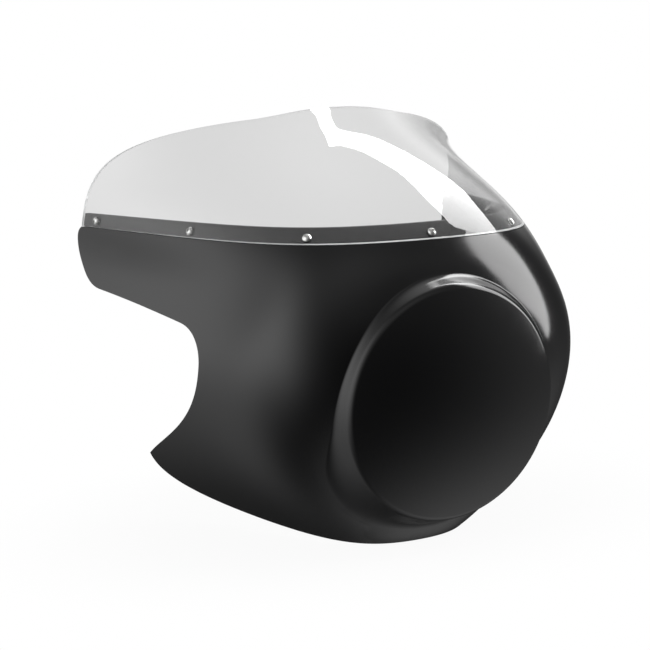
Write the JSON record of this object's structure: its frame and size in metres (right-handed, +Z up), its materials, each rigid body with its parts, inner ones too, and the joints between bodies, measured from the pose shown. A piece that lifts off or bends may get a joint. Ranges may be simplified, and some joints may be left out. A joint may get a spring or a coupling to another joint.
{
  "type": "headlight cowl",
  "caption": "Black moulded motorbike headlight cowl with swept side wings, a round blank lamp boss and a clear bubble screen screwed to its recessed upper flange.",
  "frame": {"origin": "middle of the lamp boss: on the boss's axis, 6.9 mm behind the front edge of its round wall", "axes": "+Z up, the nose with the boss points to -Y, the open rear to +Y; the cowl is mirror symmetric about X = 0"},
  "size_m": [0.391, 0.3272, 0.3605],
  "materials": {
    "shell_black": "satin black moulding",
    "screen_clear": "clear formed acrylic with a faint grey tint",
    "screw_steel": "bright plated steel",
    "nut_steel": "plated steel"
  },
  "bodies": {
    "root": {"fairing_shell": "shell_black", "windscreen": "screen_clear", "screen_screws": "screw_steel", "screen_nuts": "nut_steel"}
  },
  "joints": []
}
